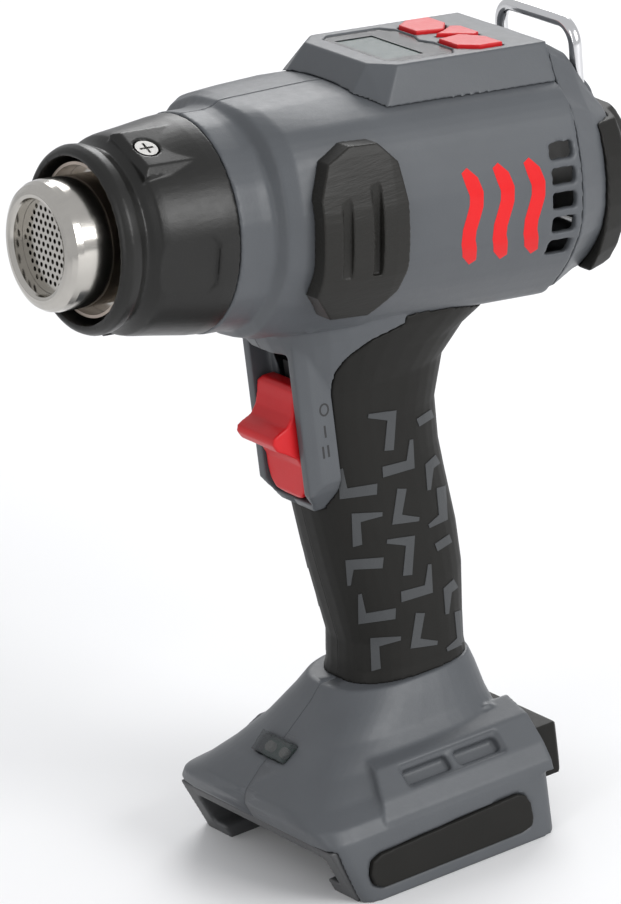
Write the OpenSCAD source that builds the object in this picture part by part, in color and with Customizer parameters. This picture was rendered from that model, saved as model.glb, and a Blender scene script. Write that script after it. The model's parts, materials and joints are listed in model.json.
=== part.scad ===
// Cordless heat gun, battery removed, as an assembly of separate parts.
// +X points to the nozzle side, +Y to the tool's left, +Z up. The foot stands on Z = 0.
// Parts of the barrel are drawn about the barrel axis and then tilted nose-up.

/* [Stance] */
// Nose-up angle between the barrel and the foot
barrel_tilt = 8; // [4:1:12]
// Height of the barrel axis above the bottom of the foot, at the handle
axis_height = 180; // [172:1:216]

/* [Barrel] */
// Width of the barrel at its widest
body_width = 76; // [70:1:92]
// Flat top of the barrel above its axis
body_top = 33; // [31.5:0.5:38]
// Underside of the barrel below its axis
body_bottom = 33.5; // [32.5:0.5:38]
// Radius of the round collar behind the nozzle guard
collar_r = 30; // [29:0.5:32]
// Length of the clamshell barrel
housing_length = 103; // [96:1:124]
// Distance from the handle back to the seam of the rear cap
rear_seam = 51; // [46:1:62]
// Wall of the moulded shells
wall = 2.4; // [2:0.2:3]

/* [Nozzle] */
// Length of the black guard round the nozzle
guard_length = 33; // [30:1:40]
// Inner radius of the guard
guard_bore_r = 22.3; // [22:0.1:24]
// Outer radius of the guard's front bead
guard_bead_r = 25.3; // [24.8:0.1:27]
// Outer radius of the steel nozzle
nozzle_r = 17.5; // [15.5:0.5:18.5]
// How far the nozzle stands out of the guard
nozzle_reach = 11.5; // [8:0.5:20]
// Radius of the round grille in the nozzle
grille_r = 12.6; // [11:0.1:13]
// Diameter of one hole of the grille
grille_hole_d = 1.3; // [1:0.1:1.6]
// Spacing of the grille's holes
grille_pitch = 2.2; // [2.1:0.1:3]

/* [Heater] */
// Outer radius of the steel tube round the heater
heat_tube_r = 20.6; // [20:0.1:21.2]
// Thickness of the steel tube
steel_t = 0.8; // [0.6:0.1:1]
// Radius of the heating coil's wire path
coil_r = 11.5; // [9:0.5:13]
// Number of turns of the heating coil
coil_turns = 7; // [5:1:9]

/* [Blower] */
// Radius of the fan over its blades
fan_r = 21.5; // [19:0.5:22.5]
// Gap between the blade tips and the duct
fan_gap = 1.2; // [0.8:0.1:2]
// Number of blades
blades = 7; // [5:1:9]
// Radius of the motor can
motor_r = 14; // [12:0.5:16]
// Length of the motor can
motor_length = 27; // [24:1:32]
// Radius of the motor shaft
shaft_r = 1.6; // [1.2:0.1:2]

/* [Handle] */
// Half width of the handle at its middle
grip_half_w = 15.8; // [15:0.1:18]
// Thickness of the soft grip layer
grip_t = 2; // [1.6:0.1:2.4]

/* [Foot] */
// Width of the foot at its bottom
foot_width = 82; // [76:1:98]
// Length of the foot at its bottom edge
foot_length = 67; // [62:1:80]
// Height of the foot's straight sides
foot_side_h = 18; // [16:0.5:22]
// Width of the battery slot between its side walls
slot_width = 62; // [56:1:64]
// How far each rail lip reaches inwards
lip_reach = 6; // [4:0.5:8]

/* [Display pod] */
// Height of the pod's flat top above the barrel axis
pod_top = 39.5; // [38:0.5:44]
// Width of the pod's flat top
pod_width = 41; // [38:1:46]
// Travel of each button
button_travel = 0.8; // [0.6:0.1:1]

/* [Switch] */
// Width of the red slide switch
slider_w = 18; // [15:0.5:19]
// Height of the red slide switch
slider_h = 33; // [28:1:35]
// Step between two positions of the switch
slider_step = 4.9; // [4:0.1:5.2]

/* [Hook] */
// Diameter of the hook's wire
hook_d = 3.6; // [3:0.1:4]
// Distance between the two legs of the hook
hook_span = 34; // [32:1:37]
// Height of the hook's top bar above its pivot
hook_rise = 23; // [20:1:30]

/* [Fits] */
// Gap between shells that lie face to face
seam = 0.15; // [0.1:0.05:0.3]
// Gap round a part that slides in its opening
slide_gap = 0.35; // [0.3:0.05:0.6]
// Radial play of a pin or shaft in its bore
pin_play = 0.07; // [0.03:0.01:0.09]

/* [Hidden] */
$fn = 48;
EPS = 0.01;
BIG = 700;

// Stations along the barrel axis, with 0 over the handle
cap_x = -rear_seam;
collar_x = cap_x + housing_length;
rim_x = collar_x + guard_length;
tip_x = rim_x + nozzle_reach;
shoulder_x = collar_x - 12;
main_x = collar_x - 40;
cap_length = 22.5;
cap_back_x = cap_x - cap_length;
bumper_back_x = cap_back_x - 6;
bumper_top = 16.4;
hw = body_width / 2;

// The origin lies half way between the nozzle's face and the rear bumper
front_reach = tip_x * cos(barrel_tilt) + (grille_r + pin_play + 1.3) * sin(barrel_tilt);
rear_reach = bumper_back_x * cos(barrel_tilt) - bumper_top * sin(barrel_tilt);
handle_x = -(front_reach + rear_reach) / 2;

// Heights in the handle and the foot
belly = axis_height - body_bottom;
foot_top = 47;
foot_back = -20.5;
bumper_reach = 9.5;
foot_front = foot_back + foot_length + 7;
slider_low = belly - 44;
slider_x = 28.8;
slider_travel = 2 * slider_step;

// Heater and blower stations
tube_front = rim_x - 3;
tube_back = 14;
tube_in = heat_tube_r - steel_t;
mica_r = tube_in - 0.5;
mica_t = 0.5;
former_front = tube_front - 12;
former_back = tube_back + 10;
duct_in = fan_r + fan_gap;
duct_t = 1.6;
duct_front = tube_back - 2;
fan_x = 2;
hub_r = 9;
motor_front = -7;
motor_back = motor_front - motor_length;

// Hook pivot
hook_x = cap_x - 13.5;
hook_z = 19;
hook_pin_l = 5;

// Pod stations
pod_front = main_x - 1;
panel_front = pod_front - 15;
panel_back = panel_front - 21.5;
button_x = panel_back - 7.5;

GREY = [0.33, 0.345, 0.36];
DARK_GREY = [0.27, 0.28, 0.29];
BLACK = [0.13, 0.13, 0.125];
RED = [0.78, 0.10, 0.11];
STEEL = [0.75, 0.74, 0.71];

// ---------- outlines and lofts ----------

// Cuts each corner of a closed outline, leaving the middle part of every edge
function cut_corners(p, t) = [
    for (i = [0 : len(p) - 1])
        let (a = p[i], b = p[(i + 1) % len(p)])
            each [a * (1 - t) + b * t, a * t + b * (1 - t)]
];

function rounded(p) = cut_corners(cut_corners(p, 0.16), 0.27);

// Full outline from its right half, which runs from top to bottom
function both_sides(h) = concat(h, [for (i = [len(h) - 2 : -1 : 1]) [-h[i][0], h[i][1]]]);

function half_circle(r, n) = [
    for (i = [0 : n - 1])
        let (a = 90 - 180 * i / (n - 1))
            [r * cos(a), r * sin(a)]
];

function mix(a, b, t) = a * (1 - t) + b * t;

// Outline moved inwards by d; it runs clockwise
function inset(p, d) = [
    for (i = [0 : len(p) - 1])
        let (
            a = p[(i + len(p) - 1) % len(p)],
            b = p[(i + 1) % len(p)],
            t = (b - a) / norm(b - a)
        ) p[i] + d * [t[1], -t[0]]
];

function superellipse(a, b, e, n) = [
    for (i = [0 : n - 1])
        let (t = 360 * i / n, c = cos(t), s = sin(t))
            [a * sign(c) * pow(abs(c), 2 / e), b * sign(s) * pow(abs(s), 2 / e)]
];

// Solid through a row of closed rings with equal point counts
module loft(rings) {
    n = len(rings[0]);
    m = len(rings);
    polyhedron(
        points = [for (r = rings) each r],
        faces = concat(
            [[for (i = [0 : n - 1]) i]],
            [[for (i = [n - 1 : -1 : 0]) (m - 1) * n + i]],
            [
                for (k = [0 : m - 2], i = [0 : n - 1])
                    let (j = (i + 1) % n, a = k * n, b = (k + 1) * n)
                        each [[a + i, b + i, b + j], [a + i, b + j, a + j]]
            ]
        ),
        convexity = 8
    );
}

// Places barrel parts, drawn with the axis along X
module on_barrel() {
    translate([handle_x, 0, axis_height]) rotate([0, -barrel_tilt, 0]) children();
}

// Places handle and foot parts
module on_handle() {
    translate([handle_x, 0, 0]) children();
}

// Cylinder along X from x0 to x1
module rod_x(x0, x1, r, y = 0, z = 0) {
    translate([x0, y, z]) rotate([0, 90, 0]) cylinder(r = r, h = x1 - x0);
}

// Cylinder along Y from y0 to y1
module rod_y(y0, y1, r, x = 0, z = 0) {
    translate([x, y0, z]) rotate([-90, 0, 0]) cylinder(r = r, h = y1 - y0);
}

module ring_x(x0, x1, r_out, r_in) {
    difference() {
        rod_x(x0, x1, r_out);
        rod_x(x0 - 1, x1 + 1, r_in);
    }
}

// Box from its low corner to its high corner
module box(a, b) {
    translate(a) cube(b - a);
}

// Turns a profile of [x, r] points about the barrel axis
module turned(profile, a = 360) {
    rotate([0, 90, 0]) rotate_extrude(angle = a, $fn = 96) polygon([for (p = profile) [p[1], p[0]]]);
}

// Prism of an XZ outline, between two values of Y
module side_prism(y0, y1, outline) {
    translate([0, y1, 0]) rotate([90, 0, 0]) linear_extrude(y1 - y0) polygon(outline);
}

module half(side) {
    intersection() {
        children();
        translate([-BIG / 2, side > 0 ? seam / 2 : -BIG - seam / 2, -BIG / 2]) cube(BIG);
    }
}

// ---------- the outer forms ----------

function main_half(w, top, bottom) = [
    [0, top], [14, top - 0.5], [w - 9.5, top - 4.5], [w - 4.5, top - 11], [w, 6], [w, -8],
    [w - 6.5, -bottom + 14], [w - 16.5, -bottom + 3.6], [10, -bottom + 0.6], [0, -bottom]
];
function collar_half(r) = half_circle(r, 10);

function barrel_outline(x) =
    let (
        full = main_half(hw, body_top, body_bottom),
        front = main_half(hw - 2.5, body_top - 1.2, body_bottom - 1)
    )
        x > collar_x - 8 ? collar_half(collar_r)
        : x > collar_x - 11 ? collar_half(collar_r + 0.5)
        : x > collar_x - 13 ? mix(collar_half(collar_r + 1.5), front, 0.55)
        : x > collar_x - 18 ? mix(collar_half(collar_r + 3), front, 0.92)
        : x > main_x + 5 ? mix(front, full, 0.45)
        : full;

// Barrel form grown by d, from the collar back to the rear seam
module barrel_form(d = 0) {
    stations = [
        collar_x, collar_x - 7, collar_x - 10, shoulder_x, collar_x - 16, collar_x - 26, main_x, cap_x
    ];
    loft([
        for (x = stations)
            [for (p = inset(rounded(both_sides(barrel_outline(x))), -d)) [x, p[0], p[1]]]
    ]);
}

module barrel_cavity() {
    stations = [collar_x + 1, collar_x - 12, main_x + 14, main_x, cap_x - 1];
    loft([
        for (x = stations)
            let (h = x > shoulder_x - 1 ? collar_half(collar_r)
                : x > main_x + 5 ? mix(collar_half(collar_r), barrel_outline(main_x), 0.5)
                : barrel_outline(x))
            [for (p = inset(cut_corners(both_sides(h), 0.25), wall)) [x, p[0], p[1]]]
    ]);
}

// Handle stations: height, front, back, half width
function handle_stations() = [
    [38, 25, -18.5, 17.5], [44, 22.5, -18, 16.8], [50, 20, -17.4, 15.8],
    [58, 19.2, -18.2, grip_half_w - 0.4], [72, 21.5, -19.6, grip_half_w + 0.4],
    [84, 23.5, -19.4, grip_half_w + 0.5], [belly - 46, 25.6, -17.8, grip_half_w],
    [belly - 38, 26.4, -17.2, grip_half_w - 0.3], [belly - 26, 27, -17.6, grip_half_w - 0.2],
    [belly - 14, 27.8, -21.5, grip_half_w + 1.2], [belly - 6, 29.5, -29.5, grip_half_w + 4],
    [belly + 2, 33, -46, grip_half_w + 7], [belly + 10, 36, -52, grip_half_w + 8]
];

module handle_form(d = 0, lo = 0, hi = BIG) {
    loft([
        for (s = handle_stations())
            if (s[0] >= lo && s[0] <= hi)
                [
                    for (p = superellipse((s[1] - s[2]) / 2 + d, s[3] + d, 2.5, 36))
                        [(s[1] + s[2]) / 2 + p[0], p[1], s[0]]
                ]
    ]);
}

// Foot stations: height, front, back, half width, squareness
fw = foot_width / 2;
side_flare = 2.4;
function foot_stations() = [
    [0, foot_front - 7.5, foot_back + 1.5, fw, 14],
    [foot_side_h, foot_front, foot_back, fw - side_flare, 14],
    [foot_side_h + 3.5, foot_front + 1.5, foot_back, fw - 4.5, 9],
    [foot_side_h + 7, foot_front + 0.5, foot_back, fw - 10, 6],
    [foot_side_h + 12, foot_front - 5, foot_back + 0.5, fw - 15, 4.2],
    [foot_side_h + 18, foot_front - 14, foot_back + 1, fw - 19, 3.3],
    [foot_top - 4, foot_front - 23, foot_back + 1.6, fw - 22, 2.8],
    [foot_top, foot_front - 27, foot_back + 2.4, fw - 24, 2.6]
];

module foot_form(d = 0) {
    loft([
        for (s = foot_stations())
            [
                for (p = superellipse((s[1] - s[2]) / 2 + d, s[3] + d, s[4], 48))
                    [(s[1] + s[2]) / 2 + p[0], p[1], s[0]]
            ]
    ]);
}

// Raised shelf along one side of the foot, side = 1 or -1
module foot_shelf(side) {
    y0 = fw - 22;
    outline = [
        [y0, foot_side_h - 1], [fw - 2.3, foot_side_h - 1], [fw - 3, foot_side_h + 2],
        [fw - 6, foot_side_h + 6.5], [fw - 12.5, foot_side_h + 13], [y0, foot_side_h + 16]
    ];
    difference() {
        translate([foot_front - 19, 0, 0]) rotate([90, 0, -90]) mirror([side > 0 ? 1 : 0, 0, 0])
            linear_extrude(foot_front - 19 - foot_back) polygon(outline);
        translate([foot_front - 19, 0, foot_side_h + 3]) rotate([0, -24, 0])
            box([0, -BIG / 2, -8], [60, BIG / 2, 60]);
    }
}

module foot_slot(side) {
    translate([foot_front - 46.5, side * (fw - 9.2), foot_side_h + 9.7]) rotate([side * -45, 0, 0]) {
        box([-15, -2.2, -3.4], [-1.2, 2.2, 8]);
        box([1.2, -2.2, -3.4], [15.5, 2.2, 8]);
        box([-16, -3.4, -0.9], [16.5, 3.4, 8]);
    }
}

// Front of the handle where the grey housing shows, as a side outline
function front_edge() = [
    [60, belly + 30], [60, belly - 47.5], [26.5, belly - 47.5], [24.4, belly - 41],
    [22, belly - 31], [20.8, belly - 24], [20.4, belly - 14], [19.6, belly - 7.5],
    [16.5, belly - 3], [10, belly + 0.5], [0, belly + 2.5], [-4, belly + 30]
];

module front_zone(grow = 0) {
    side_prism(-BIG / 2, BIG / 2, [for (p = front_edge()) [p[0] - grow, p[1] - grow]]);
}

// Bulged surround of the slide switch
module switch_surround() {
    w = slider_w / 2 + 3.2;
    hull() {
        box([20, -w, belly - 41], [29.8, w, belly + 3]);
        box([20, -w - 1.6, belly - 38], [26.5, w + 1.6, belly + 3]);
        box([20, -w + 4, belly - 47], [26.4, w - 4, belly]);
    }
}

module switch_channel() {
    w = slider_w / 2 + slide_gap;
    low = slider_low - slide_gap;
    high = slider_low + slider_h + slider_travel + slide_gap;
    box([slider_x - 5.2, -w, low], [slider_x + 12, w, high]);
    box([6, -w + 3, low + 3], [slider_x, w - 3, high - 3]);
}

// Everything behind the seam of the rear cap
module behind_seam() {
    box([cap_x - BIG, -BIG / 2, -BIG / 2], [cap_x, BIG / 2, BIG / 2]);
}

module vents(side) {
    for (i = [0 : 4])
        translate([cap_x + 6, side * hw, 13.5 - 6.6 * i])
            box([-4, -8, -2.2], [3.6, 6, 2.2]);
}

// Clamshell screws in the handle frame: x, z and how far the boss reaches from the seam
function clamshell_screws() = [
    [-8, belly - 12, 12.5], [-7, belly - 30, 9.6], [12, 74, 9.9], [10, 56, 9.4], [-12, foot_side_h + 13, 22]
];
// The same about the barrel axis
function barrel_screws() = [
    [shoulder_x - 16, -26.5, 20], [main_x - 8, 27.6, 20.5], [cap_x + 12, 27.6, 20.5], [cap_x + 12, -26.5, 20]
];
screw_r = 1.1;
head_r = 2.2;
boss_r = 3.3;

// Bosses of one half, with the screws' bores
module bosses(screws, side, head_y) {
    for (p = screws) difference() {
        rod_y(side > 0 ? 0 : -p[2], side > 0 ? p[2] : 0, boss_r, p[0], p[1]);
        rod_y(head_y, head_y + 16, screw_r + 0.1, p[0], p[1]);
    }
}

module housing_solid(side) {
    on_handle() bosses(clamshell_screws(), side, -8);
    on_barrel() bosses(barrel_screws(), side, -10);
    difference() {
        union() {
            on_barrel() difference() {
                barrel_form();
                barrel_cavity();
            }
            on_handle() difference() {
                union() {
                    handle_form(-grip_t);
                    intersection() {
                        handle_form();
                        front_zone();
                    }
                    switch_surround();
                    foot_form();
                    foot_shelf(side);
                }
                handle_form(-grip_t - wall, lo = 0, hi = belly + 4);
                foot_hollow();
                switch_channel();
            }
        }
        on_barrel() {
            barrel_cavity();
            vents(side);
            pod_window();
            rod_x(collar_x - 2, collar_x + 5, guard_bore_r + 5);
            behind_seam();
        }
        on_handle() {
            foot_slot(side);
            foot_pad_pocket(side);
            led_pocket();
            receiver_form(seam);
        }
    }
}

// Space inside the foot above the battery receiver
module foot_hollow() {
    hull() {
        box([foot_back + wall, -fw + 12, foot_side_h - 1.6], [foot_front - 8, fw - 12, foot_side_h + 4]);
        box([foot_back + 6, -9, foot_side_h], [20, 9, foot_top - 5]);
    }
}

module pod_window() {
    box([cap_x + 17, -13, 20], [panel_front - 2, 13, body_top + 3]);
}

module housing_left() {
    color(GREY) half(1) housing_solid(1);
}

module housing_right() {
    color(GREY) difference() {
        half(-1) housing_solid(-1);
        on_handle() for (p = clamshell_screws()) rod_y(-BIG / 2, -8, head_r + 0.3, p[0], p[1]);
        on_barrel() for (p = barrel_screws()) rod_y(-BIG / 2, -10, head_r + 0.3, p[0], p[1]);
    }
}

// ---------- soft grip ----------

module grip(side) {
    color(BLACK) half(side) difference() {
        on_handle() difference() {
            handle_form(0, lo = 44);
            handle_form(-grip_t + 0.02);
            front_zone(seam);
            switch_surround();
            foot_form(seam);
        }
        on_barrel() {
            barrel_form(0.02);
            behind_seam();
        }
        if (side < 0)
            on_handle() for (p = clamshell_screws()) rod_y(-BIG / 2, -8, head_r + 0.5, p[0], p[1]);
    }
}

module grip_left() { grip(1); }
module grip_right() { grip(-1); }

// ---------- nozzle end ----------

guard_screw_angles = [-24, 156];

// Shallow panel sunk into the side of the guard, sloping away towards the rim
module guard_panel() {
    back = collar_x + 6;
    length = rim_x - 10.5 - back;
    translate([back, 0, collar_r - 2.5]) rotate([0, 6, 0]) linear_extrude(8)
        polygon([[0, -5.5], [3, -9], [length, -9], [length, 9], [3, 9], [0, 5.5]]);
}

module nozzle_guard() {
    color(BLACK) on_barrel() difference() {
        union() {
            turned([
                [collar_x + seam, collar_r - 0.6],
                [collar_x + 4, collar_r - 0.9], [collar_x + 13, collar_r - 2.2],
                [collar_x + 20, collar_r - 3.1], [rim_x - 11, collar_r - 3.6],
                [rim_x - 9.2, guard_bead_r - 0.6], [rim_x - 7.8, guard_bead_r - 1.5],
                [rim_x - 6.4, guard_bead_r - 1], [rim_x - 5, guard_bead_r - 0.2],
                [rim_x - 2.6, guard_bead_r], [rim_x - 0.9, guard_bead_r - 0.7],
                [rim_x, guard_bead_r - 1.8], [rim_x - 0.3, guard_bore_r - 1],
                [collar_x + seam, guard_bore_r - 1]
            ]);
            for (a = guard_screw_angles) rotate([a, 0, 0])
                hull() {
                    box([collar_x + 6, -7.5, 20], [rim_x - 11.5, 7.5, collar_r - 2.2]);
                    box([collar_x + 3, -9.5, 20], [rim_x - 10, 9.5, collar_r - 4]);
                }
        }
        rod_x(collar_x - 1, rim_x + 1, guard_bore_r);
        for (a = [-98, 98]) rotate([a, 0, 0]) guard_panel();
        for (a = guard_screw_angles) rotate([a, 0, 0]) translate([collar_x + 17.5, 0, 0]) {
            translate([0, 0, collar_r - 4.4]) cylinder(r = 3.6, h = 10);
            cylinder(r = 1.7, h = BIG / 4);
        }
    }
}

module guard_screws() {
    color(STEEL) on_barrel() for (a = guard_screw_angles)
        rotate([a, 0, 0]) translate([collar_x + 17.5, 0, 0]) difference() {
            union() {
                translate([0, 0, collar_r - 4.38]) cylinder(r = 3.1, h = 2);
                translate([0, 0, guard_bore_r - 1.2])
                    cylinder(r = 1.6, h = collar_r - 3.1 - guard_bore_r);
            }
            for (b = [0, 90]) rotate([0, 0, b])
                box([-2.1, -0.35, collar_r - 3.2], [2.1, 0.35, collar_r]);
        }
}

module nozzle_tube() {
    r = nozzle_r;
    g = grille_r + pin_play;
    back = rim_x - 9;
    color(STEEL) on_barrel() turned([
        [tip_x - 4.5, g], [tip_x - 1, g], [tip_x - 0.3, g + 0.4], [tip_x, g + 1.3],
        [tip_x - 0.2, r - 2.4], [tip_x - 0.9, r - 1.1], [tip_x - 2.2, r - 0.3], [tip_x - 4, r],
        [rim_x - 1, r], [rim_x - 1.2, r - 0.2], [back + 1.2, r - 0.2],
        [back + 1.2, tube_in - pin_play], [back, tube_in - pin_play], [back, r - steel_t],
        [tip_x - 5.5, r - steel_t], [tip_x - 5.5, g - 1.6],
        [tip_x - 4.5, g - 1.6]
    ]);
}

// Grille of staggered round holes, seated in the nozzle
module nozzle_grille() {
    rows = ceil(grille_r / grille_pitch / 0.866);
    color(STEEL) on_barrel() difference() {
        rod_x(tip_x - 4.4, tip_x - 3.7, grille_r);
        for (i = [-rows : rows], j = [-rows : rows])
            let (y = (j + (i % 2 == 0 ? 0 : 0.5)) * grille_pitch, z = i * grille_pitch * 0.866)
                if (norm([y, z]) < grille_r - grille_hole_d)
                    rod_x(tip_x - 5, tip_x - 3, grille_hole_d / 2, y, z);
    }
}

// ---------- heater ----------

module heat_tube() {
    color(STEEL) on_barrel() ring_x(tube_back, tube_front, heat_tube_r, tube_in);
}

module mica_sleeve() {
    color([0.8, 0.75, 0.62]) on_barrel()
        ring_x(tube_back + 2, rim_x - 10, mica_r, mica_r - mica_t);
}

module heater_former() {
    color([0.86, 0.82, 0.72]) on_barrel() for (a = [0, 90]) rotate([a, 0, 0])
        box([former_back, a == 0 ? -coil_r + 1.4 : 0.6, -0.6], [former_front, coil_r - 1.4, 0.6]);
    color([0.86, 0.82, 0.72]) on_barrel()
        rotate([90, 0, 0]) box([former_back, -coil_r + 1.4, -0.6], [former_front, -0.6, 0.6]);
}

// Resistance wire wound round the former
module heating_coil() {
    r = 0.55;
    steps = 16;
    count = coil_turns * steps;
    pitch = (former_front - former_back - 6) / coil_turns;
    color([0.62, 0.58, 0.54]) on_barrel() loft([
        for (k = [0 : count])
            let (a = 360 * k / steps, x = former_back + 3 + pitch * k / steps)
                [
                    for (i = [0 : 5])
                        let (b = 60 * i, rr = coil_r + r * cos(b))
                            [x - r * sin(b), rr * cos(a), rr * sin(a)]
                ]
    ]);
}

module heater_end_plate() {
    color([0.92, 0.9, 0.84]) on_barrel() difference() {
        rod_x(former_back - 3.2, former_back - 0.2, mica_r - mica_t - 0.2);
        for (i = [0 : 7]) rotate([45 * i + 22.5, 0, 0]) rod_x(0, 60, 3, 0, 11);
        rod_x(0, 60, 2.5);
    }
}

module thermal_cutout() {
    color([0.7, 0.66, 0.6]) on_barrel() translate([former_back - 8.5, 0, 6]) {
        box([0, -4.5, -3], [5, 4.5, 3]);
        for (y = [-3, 3]) box([-5, y - 1.2, -0.4], [0, y + 1.2, 0.4]);
    }
}

module thermocouple() {
    color([0.6, 0.6, 0.62]) on_barrel() {
        rod_x(former_back - 0.1, rim_x - 14, 0.75, 0, -mica_r + 2.4);
        translate([rim_x - 14, 0, -mica_r + 2.4]) sphere(r = 1.3);
    }
}

// ---------- blower ----------

module air_duct() {
    color(BLACK) on_barrel() turned([
        [duct_front + 6, heat_tube_r + pin_play + 0.6], [duct_front + 6, heat_tube_r + 2.2],
        [duct_front, heat_tube_r + 2.2], [duct_front - 3, duct_in + duct_t],
        [-14, duct_in + duct_t], [-14, duct_in], [duct_front - 3, duct_in],
        [duct_front - 0.6, heat_tube_r - 0.4], [duct_front + 1.2, heat_tube_r - 0.4],
        [duct_front + 1.2, heat_tube_r + pin_play + 0.6]
    ]);
}

module duct_seal() {
    color([0.55, 0.2, 0.15]) on_barrel()
        ring_x(tube_back, duct_front + 5.5, heat_tube_r + 0.6, heat_tube_r + 0.03);
}

module fan_impeller() {
    color(DARK_GREY) on_barrel() {
        difference() {
            union() {
                rod_x(fan_x - 5, fan_x + 4, hub_r);
                rod_x(fan_x + 4 - EPS, fan_x + 6, hub_r - 3);
            }
            rod_x(fan_x - 8, fan_x + 4, shaft_r);
            difference() {
                rod_x(fan_x - 6, fan_x - 1, hub_r - 1.6);
                rod_x(fan_x - 7, fan_x, shaft_r + 2);
            }
        }
        for (i = [0 : blades - 1]) rotate([360 * i / blades, 0, 0]) translate([fan_x - 0.5, 0, hub_r - 1])
            rotate([0, 0, 38]) box([-5.4, -0.6, 0], [5.4, 0.6, fan_r - hub_r + 0.7]);
    }
}

module motor_shaft() {
    color(STEEL) on_barrel() rod_x(motor_back - 3, fan_x + 3.6, shaft_r);
}

module motor_armature() {
    color([0.55, 0.3, 0.16]) on_barrel() difference() {
        union() {
            rod_x(motor_back + 8, motor_front - 4, motor_r - 4.6, $fn = 60);
            rod_x(motor_back + 4, motor_back + 8 + EPS, 4);
        }
        rod_x(motor_back, motor_front, shaft_r);
        for (i = [0 : 4]) rotate([72 * i, 0, 0])
            box([motor_back + 7.9, -0.8, motor_r - 7.5], [motor_front, 0.8, motor_r]);
    }
}

module motor_can() {
    color([0.6, 0.6, 0.6]) on_barrel() difference() {
        rod_x(motor_back, motor_front, motor_r);
        rod_x(motor_back - 1, motor_front - 1.2, motor_r - 1.2);
        rod_x(motor_back, motor_front + 1, 3.5);
        for (a = [0, 180]) rotate([a, 0, 0]) rod_x(motor_front - 3, motor_front + 1, 1.25, 0, 8);
    }
}

module motor_magnets() {
    color([0.25, 0.25, 0.27]) on_barrel() difference() {
        rod_x(motor_back + 7, motor_front - 3, motor_r - 1.25);
        rod_x(motor_back, motor_front, motor_r - 4);
        for (a = [0, 180]) rotate([a, 0, 0]) box([motor_back, -4, 0], [motor_front, 4, motor_r]);
    }
}

module motor_bearings() {
    color(STEEL) on_barrel() {
        ring_x(motor_front - 2.2, motor_front, 3.48, shaft_r + pin_play);
        ring_x(motor_back - 1.8, motor_back + 0.4, 3.48, shaft_r + pin_play);
    }
}

module motor_end_cap() {
    color(BLACK) on_barrel() difference() {
        union() {
            rod_x(motor_back - 2.2, motor_back - 0.02, motor_r);
            rod_x(motor_back - 0.1, motor_back + 2.5, motor_r - 1.25);
        }
        rod_x(motor_back - 5, motor_back + 0.4, 3.5);
        rod_x(motor_back - 5, motor_back + 5, 2.6);
    }
}

// Spider that holds the motor in the duct
module motor_mount() {
    color(BLACK) on_barrel() difference() {
        union() {
            rod_x(motor_front + 0.05, motor_front + 2, 12.5);
            for (i = [0 : 2]) rotate([120 * i + 60, 0, 0])
                box([motor_front + 0.3, -1.5, 9], [motor_front + 1.7, 1.5, duct_in - 0.5]);
            ring_x(motor_front - 5, motor_front + 2, duct_in - 0.02, duct_in - 1);
        }
        rod_x(motor_front - 6, motor_front + 5, 4);
        for (a = [0, 180]) rotate([a, 0, 0]) rod_x(motor_front - 1, motor_front + 4, 1.5, 0, 8);
    }
}

module motor_screws() {
    color(STEEL) on_barrel() for (a = [0, 180]) rotate([a, 0, 0]) {
        rod_x(motor_front - 2, motor_front + 2, 1.2, 0, 8);
        rod_x(motor_front + 2, motor_front + 3, 2.4, 0, 8);
    }
}

// ---------- display pod ----------

function pod_base() = [
    [pod_front, -16], [pod_front, 16], [pod_front - 7, pod_width / 2 + 5],
    [cap_x + seam, pod_width / 2 + 5.5], [cap_x + seam, -pod_width / 2 - 5.5],
    [pod_front - 7, -pod_width / 2 - 5]
];
function pod_crest() = [
    [pod_front - 8, -14.5], [pod_front - 8, 14.5], [pod_front - 14, pod_width / 2],
    [cap_x + seam, pod_width / 2], [cap_x + seam, -pod_width / 2], [pod_front - 14, -pod_width / 2]
];

module pod_form() {
    hull() {
        translate([0, 0, body_top - 12]) linear_extrude(7.5) polygon(pod_base());
        translate([0, 0, pod_top - 0.5]) linear_extrude(0.5) polygon(pod_crest());
    }
}

function bezel_outline() = [
    [panel_front + 1, -14.5], [panel_front + 1, 14.5], [panel_front - 2, 17.2],
    [panel_back + 3, 17.2], [panel_back, 13], [panel_back, 5], [panel_back + 2, 0],
    [panel_back, -5], [panel_back, -13], [panel_back + 3, -17.2], [panel_front - 2, -17.2]
];

// The three keys lie in a shallow V: one each side and a small one between them
function key_outline(side) = [
    [button_x + 6.3, side * 5.2], [button_x + 6.3, side * 13.6], [button_x + 1.5, side * 17.4],
    [button_x - 6, side * 17.4], [button_x - 6, side * 9.4], [button_x - 1.5, side * 3.6]
];
function mode_outline() = [
    [button_x + 3.5, 0], [button_x, 2], [button_x - 5, 5.8], [button_x - 7.4, 4.2],
    [button_x - 7.4, -4.2], [button_x - 5, -5.8], [button_x, -2]
];

module key(outline) {
    translate([0, 0, pod_top - 2]) linear_extrude(2.9) polygon(outline);
}

// One opening for the three keys, with no islands between them
module key_opening() {
    offset(delta = slide_gap - 2) offset(delta = 2) {
        for (s = [-1, 1]) polygon(key_outline(s));
        polygon(mode_outline());
    }
}

module display_pod() {
    color(GREY) on_barrel() difference() {
        pod_form();
        translate([0, 0, -wall]) hull() {
            translate([0, 0, body_top - 14]) linear_extrude(8) offset(delta = -wall) polygon(pod_base());
            translate([0, 0, pod_top - 0.5]) linear_extrude(0.5) offset(delta = -wall) polygon(pod_crest());
        }
        barrel_form(seam);
        translate([0, 0, pod_top - 1.6]) linear_extrude(4) offset(delta = 0.15) polygon(bezel_outline());
        translate([0, 0, pod_top - 4]) linear_extrude(8) offset(delta = -2) polygon(bezel_outline());
        translate([0, 0, pod_top - 6]) linear_extrude(10) key_opening();
    }
}

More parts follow.
